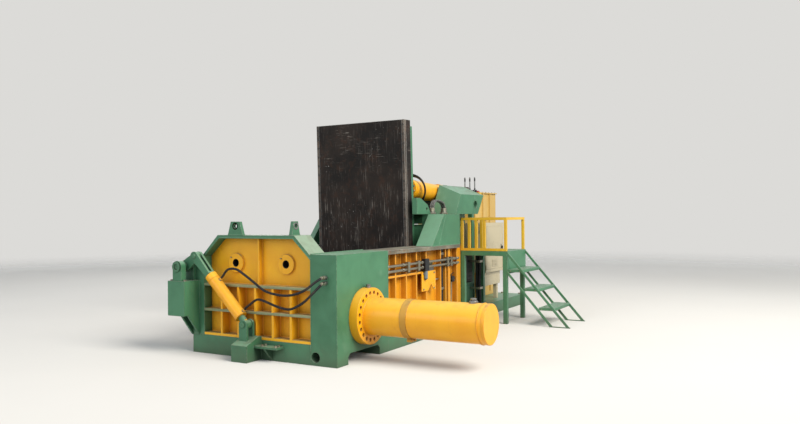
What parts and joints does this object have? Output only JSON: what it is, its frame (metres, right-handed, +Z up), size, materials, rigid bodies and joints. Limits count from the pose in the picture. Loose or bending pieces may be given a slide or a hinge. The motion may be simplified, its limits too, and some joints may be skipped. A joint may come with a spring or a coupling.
{
  "type": "recycling baler",
  "caption": "Hydraulic scrap baler: open charging chamber with swinging lid, main ram and long pusher, bale turn-out, operator platform, power pack.",
  "frame": {"origin": "ground level, under the outer face of the end wall, on the chamber's centre line", "axes": "+X along the machine from the end wall to the power pack, +Y across to the turn-out side, +Z up"},
  "size_m": [5.15, 3.058, 2.3837],
  "materials": {
    "green_paint": "semi-gloss machine enamel, scuffed",
    "yellow_paint": "semi-gloss machine enamel, scuffed",
    "worn_liner": "scale and rust, rubbed bright in streaks",
    "bare_steel": "ground steel",
    "rail_paint": "flat yellow enamel",
    "cream_paint": "powder coat",
    "black_metal": "satin black",
    "hose_rubber": "matt, wound cover",
    "red_plastic": "gloss"
  },
  "bodies": {
    "frame": {"base_frame": "green_paint", "near_block": "green_paint", "near_wall": "yellow_paint", "near_flange": "bare_steel", "far_wall": "yellow_paint", "far_flange": "bare_steel", "end_wall": "yellow_paint", "end_band": "green_paint", "floor_liner": "worn_liner", "wall_liners": "worn_liner", "shear_blades": "bare_steel", "head_wall": "green_paint", "near_cheek": "green_paint", "far_cheek": "green_paint", "crosshead": "green_paint", "hinge_pins": "bare_steel", "main_cylinder": "yellow_paint", "main_bolts": "black_metal", "pusher_cylinder": "yellow_paint", "pusher_bolts": "black_metal", "turnout_pedestal": "green_paint", "turnout_rear_bearing": "green_paint", "turnout_bracket": "green_paint", "platform": "green_paint", "guard_rail": "rail_paint", "stairs": "green_paint", "valve_stand": "green_paint", "valve_bank": "black_metal", "stop_box": "rail_paint", "power_skid": "green_paint", "oil_tank": "yellow_paint", "tank_fittings": "black_metal", "motor_pumps": "bare_steel", "cabinet": "cream_paint", "side_pipes": "bare_steel", "side_valve": "black_metal", "pipe_post": "green_paint", "hose_fittings": "bare_steel", "lid_hose": "hose_rubber", "turnout_hose_upper": "hose_rubber", "turnout_hose_lower": "hose_rubber"},
    "main_ram": {"main_ram": "bare_steel"},
    "pusher": {"long_pusher": "bare_steel"},
    "lid": {"lid_slab": "worn_liner", "lid_blades": "bare_steel", "lid_ribs": "green_paint", "lid_lug_pins": "bare_steel"},
    "lift_rods": {"lid_rods": "bare_steel"},
    "lift_barrels": {"lid_barrels": "yellow_paint"},
    "turnout": {"bale_tray": "worn_liner", "turnout_shaft": "bare_steel", "turnout_crank": "green_paint"},
    "turnout_cylinder": {"turnout_barrel": "yellow_paint"},
    "turnout_rod": {"turnout_fork": "green_paint"},
    "lever_one": {"lever_1": "bare_steel"},
    "lever_two": {"lever_2": "bare_steel"},
    "lever_three": {"lever_3": "bare_steel"},
    "stop": {"stop_button": "red_plastic"},
    "door": {"cabinet_door": "cream_paint"},
    "handle": {"door_handle": "bare_steel"}
  },
  "joints": [
    {"name": "main_ram_slide", "type": "slide", "parent": "frame", "child": "main_ram", "axis": [0, 1, 0], "range_m": [0, 0.8]},
    {"name": "pusher_slide", "type": "slide", "parent": "frame", "child": "pusher", "axis": [-1, 0, 0], "range_m": [0, 1.22]},
    {"name": "lid_hinge", "type": "hinge", "parent": "frame", "child": "lid", "pos_m": [1.94, 0, 0.7], "axis": [0, -1, 0], "range_deg": [0, 88.2]},
    {"name": "rod_pivot", "type": "hinge", "parent": "lid", "child": "lift_rods", "pos_m": [2.0807, 0, 1.63488], "axis": [0, 1, 0], "range_deg": [0, 66.36]},
    {"name": "rod_extend", "type": "slide", "parent": "lift_rods", "child": "lift_barrels", "axis": [0.9986, 0, -0.0538], "range_m": [0, 1.18663]},
    {"name": "turnout_hinge", "type": "hinge", "parent": "frame", "child": "turnout", "pos_m": [0, 0.8, 0.835], "axis": [-1, 0, 0], "range_deg": [0, 85]},
    {"name": "turnout_pivot", "type": "hinge", "parent": "frame", "child": "turnout_cylinder", "pos_m": [-0.075, 0.034, 0.324], "axis": [-1, 0, 0], "range_deg": [0, 6.61]},
    {"name": "turnout_extend", "type": "slide", "parent": "turnout_cylinder", "child": "turnout_rod", "axis": [0, 0.7116, 0.7025], "range_m": [0, 0.21314]},
    {"name": "lever_1_tilt", "type": "hinge", "parent": "frame", "child": "lever_one", "pos_m": [3.61, -0.636, 1.622], "axis": [0, 1, 0], "range_deg": [-12, 12], "stiffness_Nm_per_rad": 3},
    {"name": "lever_2_tilt", "type": "hinge", "parent": "frame", "child": "lever_two", "pos_m": [3.61, -0.566, 1.622], "axis": [0, 1, 0], "range_deg": [-12, 12], "stiffness_Nm_per_rad": 3},
    {"name": "lever_3_tilt", "type": "hinge", "parent": "frame", "child": "lever_three", "pos_m": [3.61, -0.496, 1.622], "axis": [0, 1, 0], "range_deg": [-12, 12], "stiffness_Nm_per_rad": 3},
    {"name": "stop_press", "type": "slide", "parent": "frame", "child": "stop", "axis": [0, 0, -1], "range_m": [0, 0.008], "stiffness_N_per_m": 600},
    {"name": "door_hinge", "type": "hinge", "parent": "frame", "child": "door", "pos_m": [3.702, -0.748, 0.87], "axis": [0, 0, -1], "range_deg": [0, 95]},
    {"name": "door_latch", "type": "hinge", "parent": "door", "child": "handle", "pos_m": [4.27, -0.74, 0.87], "axis": [0, 1, 0], "range_deg": [0, 90]}
  ],
  "couplings": [
    {"joint": "rod_pivot", "follows": "lid_hinge", "ratio": 0.75232},
    {"joint": "rod_extend", "follows": "lid_hinge", "m_per_rad": 0.77078},
    {"joint": "turnout_pivot", "follows": "turnout_hinge", "ratio": 0.077632},
    {"joint": "turnout_extend", "follows": "turnout_hinge", "m_per_rad": 0.1436}
  ]
}
